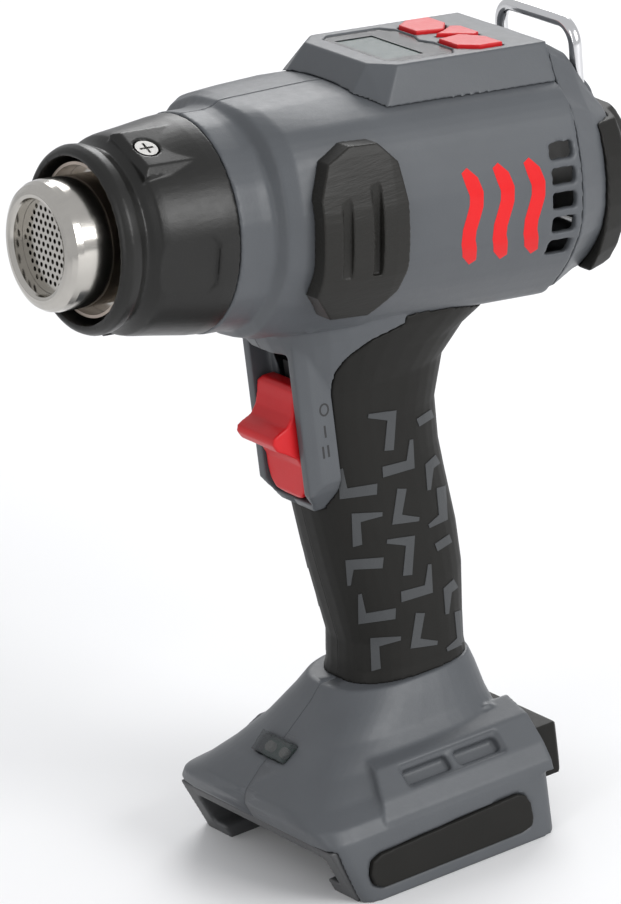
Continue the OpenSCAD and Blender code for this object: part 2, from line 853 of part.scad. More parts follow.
module display_bezel() {
    color(BLACK) on_barrel() difference() {
        translate([0, 0, pod_top - 1.55]) linear_extrude(1.1) polygon(bezel_outline());
        box([panel_front - 13, -12.2, 0], [panel_front - 1, 12.2, pod_top + 2]);
    }
}

module display_window() {
    color([0.5, 0.58, 0.52]) on_barrel()
        box([panel_front - 12.9, -12.1, pod_top - 1.5], [panel_front - 1.1, 12.1, pod_top - 0.7]);
}

module lcd_panel() {
    color([0.42, 0.5, 0.42]) on_barrel()
        box([panel_front - 14.5, -13, pod_top - 4.2], [panel_front - 1.3, 13, pod_top - 1.8]);
}

module display_board() {
    color([0.1, 0.35, 0.2]) on_barrel() {
        box([button_x - 7, -15, pod_top - 6.1], [panel_front, 15, pod_top - 4.6]);
        for (y = [-10.5, 0, 10.5])
            box([button_x - 2.6, y - 2, pod_top - 4.62], [button_x + 1.4, y + 2, pod_top - 3.9]);
    }
}

module button_up() { color(RED) on_barrel() key(key_outline(-1)); }
module button_mode() { color(RED) on_barrel() key(mode_outline()); }
module button_down() { color(RED) on_barrel() key(key_outline(1)); }

module keypad() {
    color([0.3, 0.3, 0.3]) on_barrel()
        box([button_x - 8, -17.4, pod_top - 3.8], [button_x + 7, 17.4, pod_top - 2.9]);
}

// ---------- rear end ----------

function cap_half(k) =
    k == 0 ? [
        [0, pod_top], [10, pod_top - 0.2], [pod_width / 2, pod_top - 0.6],
        [pod_width / 2 + 5, body_top - 4.5],
        [hw - 4.5, body_top - 11], [hw, 6], [hw, -8], [hw - 6.5, -body_bottom + 14],
        [hw - 16.5, -body_bottom + 3.6], [0, -body_bottom]
    ]
    : k == 1 ? [
        [0, pod_top - 4.5], [9, pod_top - 4.7], [18.5, pod_top - 5.5], [23, body_top - 7], [hw - 8.5, 19],
        [hw - 4, 5.5], [hw - 4, -8], [hw - 10.5, -body_bottom + 15.5], [hw - 19, -body_bottom + 7],
        [0, -body_bottom + 3.5]
    ]
    : k == 2 ? [
        [0, 24.6], [8, 24.4], [15, 23.5], [19, 20], [hw - 13, 14], [hw - 9.5, 5], [hw - 9.5, -8],
        [hw - 14, -19], [hw - 21, -24], [0, -27]
    ]
    : [
        [0, 17.1], [7, 16.9], [13, 16.4], [16, 14], [hw - 17, 10], [hw - 14.5, 4], [hw - 14.5, -8],
        [hw - 17.5, -15], [hw - 24, -19], [0, -21]
    ];

function cap_ring(k, x, d) = [for (p = inset(cut_corners(both_sides(cap_half(k)), 0.25), d)) [x, p[0], p[1]]];

module cap_form() {
    loft([cap_ring(0, cap_x - seam, 0), cap_ring(1, cap_x - 9, 0), cap_ring(2, cap_x - 19, 0),
        cap_ring(3, cap_back_x, 0)]);
}

// Hollow of the cap, open at the seam
module cap_hollow() {
    loft([cap_ring(0, cap_x + 2, wall), cap_ring(0, cap_x - 1, wall), cap_ring(1, cap_x - 9, wall),
        cap_ring(2, cap_x - 17.5, wall), cap_ring(3, cap_back_x + wall, wall)]);
}

module hook_slots() {
    w = hook_d / 2 + slide_gap;
    for (s = [-1, 1])
        box([cap_back_x - 20, s * hook_span / 2 - w, hook_z - 2.6],
            [hook_x + 3.8, s * hook_span / 2 + w, 60]);
}

module rear_cap() {
    color(GREY) on_barrel() difference() {
        cap_form();
        cap_hollow();
        hook_slots();
        for (i = [0 : 5]) box([cap_back_x - 2, -9, -16.6 + 4.6 * i], [cap_back_x + 6, 9, -14 + 4.6 * i]);
    }
}

// Bracket in the rear cap that the hook's pivot ends turn in
module hook_bracket() {
    w = hook_span / 2 - hook_d / 2 - slide_gap;
    color(DARK_GREY) on_barrel() difference() {
        box([hook_x - 3, -w, hook_z - 3], [hook_x + 3, w, hook_z + 3]);
        for (s = [-1, 1])
            rod_y(s * w - hook_pin_l, s * w + hook_pin_l, hook_d / 2 + pin_play, hook_x, hook_z);
    }
}

// Rubber ring round the rear of the cap, so the tool can stand on its tail
module rear_bumper() {
    grow = -2.6;
    color(BLACK) on_barrel() difference() {
        loft([cap_ring(2, cap_x - 11, grow - 3), cap_ring(2, cap_x - 19, grow - 0.3),
            cap_ring(3, cap_back_x - 1, grow), cap_ring(3, bumper_back_x + 2, grow / 2),
            cap_ring(3, bumper_back_x, 0.6)]);
        cap_form();
        box([cap_x - 60, -60, 17.2], [cap_x, 60, 60]);
        box([cap_x - 60, -60, -60], [cap_x, 60, -24.5]);
        box([bumper_back_x - 5, -11.5, -18.5], [cap_x, 11.5, 12]);
    }
}

module intake_screen() {
    color([0.5, 0.5, 0.5]) on_barrel()
        box([cap_back_x + wall + 0.1, -10, -15], [cap_back_x + wall + 0.7, 10, 8.5]);
}

// Wire bail: two legs, a top bar and inward pivot ends
module hang_hook() {
    r = hook_d / 2;
    bend = 6;
    s = hook_span / 2;
    color(STEEL) on_barrel() translate([hook_x, 0, hook_z]) rotate([0, 5, 0]) {
        rod_y(-s + bend, s - bend, r, 0, hook_rise);
        for (m = [0, 1]) mirror([0, m, 0]) {
            translate([0, s, 0]) cylinder(r = r, h = hook_rise - bend);
            rod_y(s - hook_pin_l, s, r);
            translate([0, s, 0]) sphere(r = r);
            translate([0, s - bend, hook_rise - bend]) rotate([90, 0, 90])
                rotate_extrude(angle = 90) translate([bend, 0]) circle(r = r);
        }
    }
}

// ---------- side pads ----------

function pad_outline() = [
    [main_x + 21.5, -15], [main_x + 21.5, 11.5], [main_x + 18, 20.5], [main_x + 11, 24.3],
    [main_x + 2.8, 24.3], [main_x - 2.4, 19], [main_x - 3.8, 9], [main_x - 3.8, -9],
    [main_x - 2.4, -16], [main_x + 3.8, -22.7], [main_x + 14.8, -22.7]
];

module side_pad(side) {
    y0 = side > 0 ? 16 : -60;
    color(BLACK) on_barrel() difference() {
        intersection() {
            barrel_form(5);
            side_prism(y0, y0 + 44, pad_outline());
        }
        barrel_form(0.02);
        for (x = [main_x + 14.5, main_x + 5.5])
            box([x - 1.4, side > 0 ? hw + 2.2 : -60, -10], [x + 1.4, side > 0 ? 60 : -hw - 2.2, 15]);
    }
}

module side_pad_left() { side_pad(1); }
module side_pad_right() { side_pad(-1); }

// ---------- slide switch ----------

// Side outline of the slider: a flat plate with a thumb ledge that hooks downwards
function slider_profile(f, lo, hi) = let (k = lo + slider_h * 0.6) [
    [f - 4.8, lo], [f - 1.2, lo], [f, lo + 1.5], [f + 0.2, k - 9], [f + 1.4, k - 6.5], [f + 4.4, k - 4.2],
    [f + 7.2, k - 2.6], [f + 8.4, k - 0.4], [f + 8, k + 1.3], [f + 6.2, k + 2.2], [f + 3.4, k + 3.2],
    [f + 1.5, k + 5.6], [f + 0.5, k + 9], [f, hi - 1.2], [f - 1, hi], [f - 4.8, hi]
];

function slider_front(w, lo, hi) = [
    [-w, lo + 7], [-w + 0.8, lo + 3.6], [-w + 3.2, lo + 0.9], [-w + 6, lo], [w - 6, lo], [w - 3.2, lo + 0.9],
    [w - 0.8, lo + 3.6], [w, lo + 7], [w, hi - 1.5], [w - 1.5, hi], [-w + 1.5, hi], [-w, hi - 1.5]
];

module switch_slider() {
    w = slider_w / 2;
    color(RED) on_handle() {
        intersection() {
            side_prism(-w, w, slider_profile(slider_x, slider_low, slider_low + slider_h));
            translate([slider_x - 20, 0, 0]) rotate([90, 0, 90]) linear_extrude(40)
                polygon(slider_front(w, slider_low, slider_low + slider_h));
        }
        box([slider_x - 12, -2.5, slider_low + 12], [slider_x - 4.7, 2.5, slider_low + 16]);
    }
}

module switch_body() {
    color([0.15, 0.15, 0.15]) on_handle() difference() {
        box([2, -5.8, belly - 39], [slider_x - 7, 5.8, belly - 8]);
        box([slider_x - 13, -3, slider_low + 11], [slider_x, 3, slider_low + 17 + slider_travel]);
    }
}

module detent_spring() {
    color(STEEL) on_handle()
        box([slider_x - 6.6, 3.4, slider_low + 8], [slider_x - 6.2, 5.4, slider_low + 30]);
}

// ---------- electronics ----------

module control_board() {
    color([0.1, 0.35, 0.2]) on_handle() box([-6, -9.5, 52], [-4.4, 9.5, belly - 44]);
    color([0.15, 0.15, 0.15]) on_handle() {
        box([-4.5, -7, 58], [0, 7, 64]);
        box([-4.5, -5, 68], [-1, 5, 74]);
    }
}

module heat_sink() {
    color([0.7, 0.7, 0.72]) on_handle() {
        box([-8, -7.4, 78], [-6.05, 7.4, 96]);
        for (i = [0 : 4]) box([-10.8, -7.4 + 3.4 * i, 78], [-7.9, -6.2 + 3.4 * i, 96]);
    }
}

module power_leads() {
    for (s = [-1, 1]) color(s > 0 ? RED : BLACK) on_handle() {
        translate([2, s * 8, foot_side_h + 6]) cylinder(r = 1.2, h = 24);
        translate([2, s * 8, foot_side_h + 30]) sphere(r = 1.2);
        translate([2, s * 8, foot_side_h + 30]) rotate([s * 5, 0, 0])
            cylinder(r = 1.2, h = belly - 76 - foot_side_h);
    }
}

// ---------- foot ----------

module receiver_form(d = 0) {
    box([foot_back + wall, -fw + wall + 1.8 - d, -1], [BIG, fw - wall - 1.8 + d, foot_side_h - 1.5]);
}

// Battery receiver with a C-shaped rail each side
module battery_receiver() {
    iw = slot_width / 2;
    color(DARK_GREY) on_handle() difference() {
        side_prism(-fw + wall + 1.8, fw - wall - 1.8, [
            [foot_back + wall + seam, 0], [foot_front - 8, 0],
            [foot_front - 0.9, foot_side_h - 1.5 - seam], [foot_back + wall + seam, foot_side_h - 1.5 - seam]
        ]);
        box([foot_back + wall + 4, -iw, 4], [BIG, iw, foot_side_h - 5]);
        box([foot_back + wall + 4, -iw + lip_reach, -1], [BIG, iw - lip_reach, 10]);
        terminal_seat(0.1);
    }
}

module terminal_seat(d) {
    box([-14 - d, -17 - d, foot_side_h - 6], [6 + d, 17 + d, foot_side_h + 6 + d]);
}

module terminal_block() {
    color(BLACK) on_handle() difference() {
        union() {
            box([-14, -17, foot_side_h - 4.9], [6, 17, foot_side_h + 4]);
            box([-14, -17, 7], [-8, 17, foot_side_h - 4.8]);
        }
        for (y = [-12, -4, 4, 12]) box([-9, y - 0.45, 6], [4, y + 0.45, foot_side_h]);
    }
}

module terminal_blades() {
    color([0.8, 0.6, 0.3]) on_handle()
        for (y = [-12, -4, 4, 12]) box([-8.9, y - 0.4, 8], [3.9, y + 0.4, foot_side_h - 0.1]);
}

led_x = foot_front - 9.5;
led_z = foot_side_h + 16.6;

module led_frame() {
    translate([led_x, 0, led_z]) rotate([0, 42, 0]) children();
}

module led_pocket() {
    led_frame() box([-3.2, -7.2, -7], [3.2, 7.2, 6]);
}

module led_lens() {
    color([0.8, 0.82, 0.85, 0.5]) on_handle() led_frame() difference() {
        box([-3.1, -7.1, -3.2], [3.1, 7.1, 0.2]);
        box([-2.4, -6.4, -4], [2.4, 6.4, -0.8]);
    }
}

module led_board() {
    color([0.1, 0.35, 0.2]) on_handle() led_frame() box([-3.1, -7.1, -4.6], [3.1, 7.1, -3.3]);
}

module leds() {
    color([0.95, 0.93, 0.7]) on_handle() led_frame() for (y = [-3.4, 3.4])
        translate([0, y, -3.25]) cylinder(r = 1.5, h = 1.6);
}

function foot_pad_outline(d) = [
    [foot_front - 14 + d, 3.6 - d], [foot_front - 11.4 + d, 5], [foot_front - 10.6 + d, 8],
    [foot_front - 12 + d, 11.6 + d], [foot_front - 15 + d, 12.8 + d], [foot_back + 13.5 - d, 14.6 + d],
    [foot_back + 11 - d, 13.4 + d], [foot_back + 10 - d, 10.6], [foot_back + 10 - d, 6.6],
    [foot_back + 11 - d, 4.6 - d], [foot_back + 14 - d, 3.8 - d]
];

// Frame on the flared side wall of the foot, with Y = 0 on its face
module on_side_wall(side) {
    translate([0, side * fw, 0]) rotate([side * atan(side_flare / foot_side_h), 0, 0]) children();
}

module foot_pad_pocket(side) {
    on_side_wall(side) side_prism(side > 0 ? -1.2 : -8, side > 0 ? 8 : 1.2, foot_pad_outline(0.15));
}

module foot_pad(side) {
    color(BLACK) on_handle() on_side_wall(side)
        side_prism(side > 0 ? -1.15 : -1.1, side > 0 ? 1.1 : 1.15, foot_pad_outline(0));
}

module foot_pad_left() { foot_pad(1); }
module foot_pad_right() { foot_pad(-1); }

module foot_bumper() {
    color(BLACK) on_handle() difference() {
        hull() {
            box([foot_back - bumper_reach, -27, 13.5], [foot_back + 4, 27, 24.5]);
            box([foot_back - bumper_reach + 2.5, -30.5, 11.5], [foot_back + 4, 30.5, 26.5]);
        }
        foot_form(seam);
        for (s = [0, 1]) mirror([0, s, 0])
            box([foot_back - seam, fw - 22 - seam, foot_side_h - 1 - seam], [foot_back + 5, fw, foot_top]);
    }
}

// ---------- clamshell fasteners ----------

module screw_y(x, z, head_y) {
    difference() {
        union() {
            rod_y(head_y - 2, head_y, head_r, x, z);
            rod_y(head_y - EPS, head_y + 14, screw_r, x, z);
        }
        rod_y(head_y - 3, head_y - 0.8, 1.2, x, z, $fn = 6);
    }
}

module housing_screws() {
    color([0.2, 0.2, 0.2]) {
        on_handle() for (p = clamshell_screws()) screw_y(p[0], p[1], -8);
        on_barrel() for (p = barrel_screws()) screw_y(p[0], p[1], -10);
    }
}

housing_left();
housing_right();
grip_left();
grip_right();
nozzle_guard();
guard_screws();
nozzle_tube();
nozzle_grille();
heat_tube();
mica_sleeve();
heater_former();
heating_coil();
heater_end_plate();
thermal_cutout();
thermocouple();
air_duct();
duct_seal();
fan_impeller();
motor_shaft();
motor_armature();
motor_can();
motor_magnets();
motor_bearings();
motor_end_cap();
motor_mount();
motor_screws();
display_pod();
display_bezel();
display_window();
lcd_panel();
display_board();
button_up();
button_mode();
button_down();
keypad();
rear_cap();
rear_bumper();
hook_bracket();
intake_screen();
hang_hook();
side_pad_left();
side_pad_right();
switch_slider();
switch_body();
detent_spring();
control_board();
heat_sink();
power_leads();
battery_receiver();
terminal_block();
terminal_blades();
led_lens();
led_board();
leds();
foot_pad_left();
foot_pad_right();
foot_bumper();
housing_screws();
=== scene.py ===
import json
import math

import bmesh
import bpy
from mathutils import Matrix, Vector
from mathutils.bvhtree import BVHTree


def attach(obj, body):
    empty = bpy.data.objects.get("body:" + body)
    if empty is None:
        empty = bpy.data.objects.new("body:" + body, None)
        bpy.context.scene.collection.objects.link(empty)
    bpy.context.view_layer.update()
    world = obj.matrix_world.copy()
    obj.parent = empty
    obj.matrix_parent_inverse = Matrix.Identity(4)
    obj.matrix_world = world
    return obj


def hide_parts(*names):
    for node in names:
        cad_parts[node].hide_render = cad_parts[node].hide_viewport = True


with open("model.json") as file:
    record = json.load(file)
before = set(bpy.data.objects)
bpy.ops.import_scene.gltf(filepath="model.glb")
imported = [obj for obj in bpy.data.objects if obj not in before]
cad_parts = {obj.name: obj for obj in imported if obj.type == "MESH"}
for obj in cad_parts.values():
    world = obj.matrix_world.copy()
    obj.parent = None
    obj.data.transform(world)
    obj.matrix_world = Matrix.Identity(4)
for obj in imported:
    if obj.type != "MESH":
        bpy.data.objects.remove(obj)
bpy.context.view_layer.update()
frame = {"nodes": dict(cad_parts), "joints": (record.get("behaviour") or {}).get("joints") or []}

MM = 0.001

# ---------------------------------------------------------------- the tool's own frames
SPIN = next(j for j in frame["joints"] if j["name"] == "fan_spin")
AXIS_X, AXIS_Z = SPIN["pos_m"][0], SPIN["pos_m"][2]
TILT = math.radians(8)
NOSE_UP = Matrix.Rotation(-TILT, 4, "Y")
BARREL = Matrix.Translation((AXIS_X, 0, AXIS_Z)) @ NOSE_UP
HANDLE = Matrix.Translation((AXIS_X, 0, 0))


def on_barrel(x, y, z):
    return BARREL @ Vector((x * MM, y * MM, z * MM))


def on_handle(x, y, z):
    return HANDLE @ Vector((x * MM, y * MM, z * MM))


# ---------------------------------------------------------------- camera
RIM_X = 85  # front rim of the guard along the barrel, in millimetres
SIDE, UP = math.radians(33.9), math.radians(16.6)  # where the camera stands, seen from the barrel
EYE_BACK, EYE_RIGHT, EYE_DOWN = 1.87013, 0.06156, 0.05468  # from the rim to the camera, in metres
TO_CAM = Vector((math.sin(SIDE) * math.cos(UP), math.cos(SIDE) * math.cos(UP), math.sin(UP)))
TO_RIGHT = Vector((-math.cos(SIDE), math.sin(SIDE), 0))
TO_TOP = TO_CAM.cross(TO_RIGHT)
turn = NOSE_UP.to_3x3()
eye = on_barrel(RIM_X, 0, 0) + turn @ (TO_CAM * EYE_BACK + TO_RIGHT * EYE_RIGHT - TO_TOP * EYE_DOWN)
cam = bpy.data.objects.new("camera", bpy.data.cameras.new("camera"))
bpy.context.scene.collection.objects.link(cam)
axes = Matrix((turn @ TO_RIGHT, turn @ TO_TOP, turn @ TO_CAM)).transposed().to_4x4()
cam.matrix_world = Matrix.Translation(eye) @ axes
cam.data.sensor_fit = "VERTICAL"
cam.data.sensor_height = 36
cam.data.lens = 286.7
cam.data.clip_end = 20
bpy.context.scene.camera = cam

# ---------------------------------------------------------------- materials


def material(name, colour, rough, metal=0.0, vary=0.06, vary_scale=60, bumps=(), rough_vary=0.06,
             alpha=1.0, stretch=(1, 1, 1), specular=0.5):
    """A principled surface with mottled colour, uneven roughness and layers of bump.

    Each bump is (scale, depth in metres), with "cells" added where it is made of cells and not of noise.
    stretch sets how fine the pattern is along each axis.
    """
    m = bpy.data.materials.new(name)
    m.use_nodes = True
    t = m.node_tree
    b = t.nodes["Principled BSDF"]
    coord = t.nodes.new("ShaderNodeTexCoord")
    mapping = t.nodes.new("ShaderNodeMapping")
    mapping.inputs["Scale"].default_value = stretch
    t.links.new(coord.outputs["Object"], mapping.inputs["Vector"])

    def noise(scale, detail=3.0):
        n = t.nodes.new("ShaderNodeTexNoise")
        n.inputs["Scale"].default_value = scale
        n.inputs["Detail"].default_value = detail
        t.links.new(mapping.outputs["Vector"], n.inputs["Vector"])
        return n

    ramp = t.nodes.new("ShaderNodeValToRGB")
    ramp.color_ramp.elements[0].position = 0.3
    ramp.color_ramp.elements[1].position = 0.7
    ramp.color_ramp.elements[0].color = (*[c * (1 - vary) for c in colour], 1)
    ramp.color_ramp.elements[1].color = (*[min(1, c * (1 + vary)) for c in colour], 1)
    t.links.new(noise(vary_scale).outputs["Fac"], ramp.inputs["Fac"])
    t.links.new(ramp.outputs["Color"], b.inputs["Base Color"])
    spread = t.nodes.new("ShaderNodeMapRange")
    spread.inputs["To Min"].default_value = max(0.02, rough - rough_vary)
    spread.inputs["To Max"].default_value = min(1, rough + rough_vary)
    t.links.new(noise(vary_scale * 7).outputs["Fac"], spread.inputs["Value"])
    t.links.new(spread.outputs["Result"], b.inputs["Roughness"])
    last = None
    for scale, depth, *cells in bumps:
        if cells:
            n = t.nodes.new("ShaderNodeTexVoronoi")
            n.inputs["Scale"].default_value = scale
            t.links.new(mapping.outputs["Vector"], n.inputs["Vector"])
            height = n.outputs["Distance"]
        else:
            height = noise(scale, 2.0).outputs["Fac"]
        bump = t.nodes.new("ShaderNodeBump")
        bump.inputs["Strength"].default_value = 1.0
        bump.inputs["Distance"].default_value = depth
        t.links.new(height, bump.inputs["Height"])
        if last:
            t.links.new(last.outputs["Normal"], bump.inputs["Normal"])
        last = bump
    if last:
        t.links.new(last.outputs["Normal"], b.inputs["Normal"])
    b.inputs["Metallic"].default_value = metal
    b.inputs["Specular IOR Level"].default_value = specular
    b.inputs["Alpha"].default_value = alpha
    return m


GRAIN = ((2600, 0.00002), (900, 0.00002))
SHELL = material("shell_plastic", (0.085, 0.091, 0.099), 0.42, bumps=GRAIN, vary=0.04, specular=0.35)
RUBBER = material("soft_rubber", (0.014, 0.0135, 0.0122), 0.5, bumps=((3200, 0.00002),), specular=0.16)
PAD = material("pad_rubber", (0.018, 0.0173, 0.0155), 0.42, stretch=(0.25, 1, 1.6),
               bumps=((900, 0.00007), (3000, 0.00002)), specular=0.22)
GUARD = material("guard_plastic", (0.014, 0.0138, 0.013), 0.34, bumps=GRAIN, specular=0.3)
POLISHED = material("polished_steel", (0.52, 0.5, 0.465), 0.16, metal=1, rough_vary=0.05, stretch=(1, 6, 6),
                    bumps=((300, 0.000006),), vary=0.03)
STEEL = material("plain_steel", (0.36, 0.355, 0.345), 0.32, metal=1, bumps=((1200, 0.00001),))
TINTED = material("heated_steel", (0.42, 0.36, 0.31), 0.3, metal=1, vary=0.25, bumps=((700, 0.00001),))
WIRE = material("hook_steel", (0.7, 0.7, 0.71), 0.14, metal=1, bumps=((500, 0.000008),), vary=0.03)
DARK_STEEL = material("black_steel", (0.06, 0.06, 0.06), 0.35, metal=1, bumps=((1500, 0.00001),))
RED = material("red_plastic", (0.56, 0.01, 0.014), 0.36, bumps=GRAIN, vary=0.04, specular=0.3)
RED_INK = material("red_print", (0.66, 0.006, 0.008), 0.32, bumps=((2600, 0.00001),), vary=0.03,
                   specular=0.3)
INLAY = material("grip_inlay", (0.06, 0.063, 0.066), 0.5, bumps=GRAIN, vary=0.05, specular=0.25)
# painted shade: a near-black colour stands in for the shade inside the engraved switch marks
SHADE_MARK = material("engraved_mark_painted_shade", (0.02, 0.02, 0.021), 0.6, bumps=GRAIN)
GLOSS = material("gloss_black", (0.012, 0.013, 0.0145), 0.2, bumps=((1500, 0.000004),), specular=0.4)
LCD = material("lcd_glass", (0.05, 0.078, 0.073), 0.2, vary=0.05, bumps=((4000, 0.000003, "cells"),),
               specular=0.4)
RECEIVER = material("receiver_plastic", (0.06, 0.061, 0.063), 0.5, bumps=GRAIN)
BLACK = material("black_nylon", (0.03, 0.03, 0.03), 0.5, bumps=GRAIN)
BOARD = material("circuit_board", (0.02, 0.12, 0.06), 0.35, vary=0.3, vary_scale=500,
                 bumps=((1800, 0.00002, "cells"),))
CERAMIC = material("ceramic", (0.62, 0.58, 0.5), 0.75, bumps=((1500, 0.00004),), vary=0.1)
MICA = material("mica", (0.5, 0.45, 0.34), 0.35, bumps=((700, 0.00005, "cells"),), vary=0.2)
COPPER = material("windings", (0.6, 0.28, 0.12), 0.3, metal=1, stretch=(0.2, 1, 1), bumps=((2500, 0.00006),))
BRASS = material("brass", (0.7, 0.5, 0.22), 0.28, metal=1, bumps=((1500, 0.00001),))
MAGNET = material("ferrite", (0.06, 0.06, 0.065), 0.5, bumps=((1500, 0.00003),))
ALLOY = material("aluminium", (0.62, 0.62, 0.64), 0.35, metal=1, stretch=(1, 1, 0.2),
                 bumps=((1600, 0.00002),))
SEAL = material("silicone", (0.35, 0.06, 0.04), 0.55, bumps=GRAIN)
MEMBRANE = material("keypad_rubber", (0.09, 0.09, 0.09), 0.6, bumps=GRAIN)
LENS = material("lens", (0.07, 0.075, 0.08), 0.1, vary=0.02, bumps=((900, 0.00003, "cells"),), alpha=0.45)
LED = material("led_phosphor", (0.42, 0.41, 0.36), 0.4, bumps=((2500, 0.00003, "cells"),), vary=0.05)
LEAD = material("wire_insulation", (0.25, 0.02, 0.02), 0.45, bumps=GRAIN)

PAINT = {
    SHELL: ["housing_left", "housing_right", "display_pod", "rear_cap"],
    RUBBER: ["grip_left", "grip_right", "rear_bumper", "foot_bumper", "foot_pad_left", "foot_pad_right"],
    PAD: ["side_pad_left", "side_pad_right"],
    GUARD: ["nozzle_guard"],
    POLISHED: ["nozzle_tube", "nozzle_grille"],
    STEEL: ["guard_screws", "motor_shaft", "motor_can", "motor_screws", "detent_spring", "thermocouple",
            "intake_screen"],
    TINTED: ["heat_tube", "heating_coil"],
    WIRE: ["hang_hook"],
    DARK_STEEL: ["housing_screws"],
    RED: ["switch_slider", "button_up", "button_mode", "button_down"],
    GLOSS: ["display_bezel"],
    LCD: ["display_window", "lcd_panel"],
    RECEIVER: ["battery_receiver"],
    BLACK: ["air_duct", "fan_impeller", "motor_end_cap", "motor_mount", "hook_bracket", "switch_body",
            "terminal_block"],
    BOARD: ["display_board", "control_board", "led_board"],
    CERAMIC: ["heater_former", "heater_end_plate"],
    MICA: ["mica_sleeve"],
    COPPER: ["motor_armature"],
    BRASS: ["motor_bearings", "terminal_blades"],
    MAGNET: ["motor_magnets"],
    ALLOY: ["heat_sink", "thermal_cutout"],
    SEAL: ["duct_seal"],
    MEMBRANE: ["keypad"],
    LENS: ["led_lens"],
    LED: ["leds"],
    LEAD: ["power_leads"],
}


def paint(obj, mat):
    obj.data.materials.clear()
    obj.data.materials.append(mat)
    return obj


MATERIAL_OF = {}
for mat, names in PAINT.items():
    for name in names:
        MATERIAL_OF[name] = mat
        paint(frame["nodes"][name], mat)

# ---------------------------------------------------------------- mesh helpers


def new_object(name, mesh):
    o = bpy.data.objects.new(name, mesh)
    bpy.context.scene.collection.objects.link(o)
    return o


def shade(o):
    o.data.polygons.foreach_set("use_smooth", [True] * len(o.data.polygons))
    return o


def closed_copy(node, name, edit=None):
    """Copy of a CAD node with its doubled vertices merged."""
    bm = bmesh.new()
    bm.from_mesh(frame["nodes"][node].data)
    bmesh.ops.remove_doubles(bm, verts=bm.verts, dist=1e-6)
    if edit:
        for v in bm.verts:
            v.co = edit(v.co)
    mesh = bpy.data.meshes.new(name)
    bm.to_mesh(mesh)
    bm.free()
    return new_object(name, mesh)


def baked(o):
    """Applies the modifiers of o."""
    bpy.context.view_layer.update()
    mesh = bpy.data.meshes.new_from_object(o.evaluated_get(bpy.context.evaluated_depsgraph_get()))
    old = o.data
    o.modifiers.clear()
    o.data = mesh
    bpy.data.meshes.remove(old)
    return o


def boolean(o, other, how):
    """Joins o with the other object, or keeps what they share, and uses the other up."""
    m = o.modifiers.new("cut", "BOOLEAN")
    m.operation = how
    m.object = other
    m.solver = "MANIFOLD"
    baked(o)
    bpy.data.objects.remove(other)


def soften(o, voxel, rounds, keep=1.0):
    """Rebuilds o as an even mesh, rounds its edges off and thins it to that share of its faces."""
    m = o.modifiers.new("even", "REMESH")
    m.mode = "VOXEL"
    m.voxel_size = voxel * MM
    s = o.modifiers.new("round", "SMOOTH")
    s.factor = 0.5
    s.iterations = rounds
    if keep < 1:
        o.modifiers.new("thin", "DECIMATE").ratio = keep
    return shade(baked(o))


def block(name, lo, hi):
    """A box between two corners, in millimetres."""
    bm = bmesh.new()
    bmesh.ops.create_cube(bm, size=1.0)
    size = [b - a for a, b in zip(lo, hi)]
    mid = [(a + b) / 2 for a, b in zip(lo, hi)]
    for v in bm.verts:
        v.co = Vector([m + c * s for m, c, s in zip(mid, v.co, size)]) * MM
    mesh = bpy.data.meshes.new(name)
    bm.to_mesh(mesh)
    bm.free()
    return new_object(name, mesh)


def settle(o, node, body="tool"):
    """o stands for that CAD node."""
    paint(o, MATERIAL_OF[node])
    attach(o, body)
    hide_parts(node)


def halves(stem, voxel, rounds, keep, gap=0.1):
    """Joins a left and right CAD pair, rounds it as one and parts it again along the seam."""
    overlap, near = 0.0004, 0.0001  # points at the parting plane are moved across it, so that the halves join
    far = 500
    left = lambda c: Vector((c.x, -overlap if c.y < near else c.y, c.z))
    right = lambda c: Vector((c.x, overlap if c.y > -near else c.y, c.z))
    whole = closed_copy(stem + "_left", "whole", left)
    boolean(whole, closed_copy(stem + "_right", "other", right), "UNION")
    soften(whole, voxel, rounds)
    for side, low, high in (("_left", gap / 2, far), ("_right", -far, -gap / 2)):
        o = new_object(stem + side + "_piece", whole.data.copy())
        boolean(o, block("half", (-far, low, -far), (far, high, far)), "INTERSECT")
        o.modifiers.new("thin", "DECIMATE").ratio = keep
        shade(baked(o))
        settle(o, stem + side)
    return whole


housing = halves("housing", 0.55, 4, 0.3, gap=0.36)
grip = halves("grip", 0.5, 3, 0.3)
bpy.data.objects.remove(housing)
grip_tree = BVHTree.FromObject(grip, bpy.context.evaluated_depsgraph_get())
bpy.data.objects.remove(grip)

# Node: voxel in millimetres, rounding passes, share of the faces kept, body
SOFT_NODES = {
    "display_pod": (0.4, 4, 0.3, "tool"),
    "rear_cap": (0.5, 4, 0.3, "tool"),
    "rear_bumper": (0.5, 3, 0.4, "tool"),
    "side_pad_left": (0.3, 4, 0.3, "tool"),
    "side_pad_right": (0.3, 4, 0.3, "tool"),
    "nozzle_guard": (0.4, 3, 0.3, "tool"),
    "foot_bumper": (0.5, 4, 0.5, "tool"),
    "foot_pad_left": (0.35, 5, 0.4, "tool"),
    "foot_pad_right": (0.35, 5, 0.4, "tool"),
    "battery_receiver": (0.6, 2, 0.3, "tool"),
    "switch_slider": (0.4, 5, 0.5, "slider"),
    "button_up": (0.25, 6, 0.5, "key_up"),
    "button_mode": (0.25, 6, 0.5, "key_mode"),
    "button_down": (0.25, 6, 0.5, "key_down"),
}
for node, (voxel, rounds, keep, body) in SOFT_NODES.items():
    settle(soften(closed_copy(node, node + "_piece"), voxel, rounds, keep), node, body)

# ---------------------------------------------------------------- things printed or set into the surface


def surface_tree(*names):
    """One search tree over several finished pieces."""
    verts, faces = [], []
    for name in names:
        mesh = bpy.data.objects[name].data
        at = len(verts)
        verts += [v.co.copy() for v in mesh.vertices]
        faces += [[at + i for i in p.vertices] for p in mesh.polygons]
    return BVHTree.FromPolygons(verts, faces)


THROW_FROM, THROW_REACH = 0.03, 0.08  # how far in front of the surface a throw starts, and how far it goes


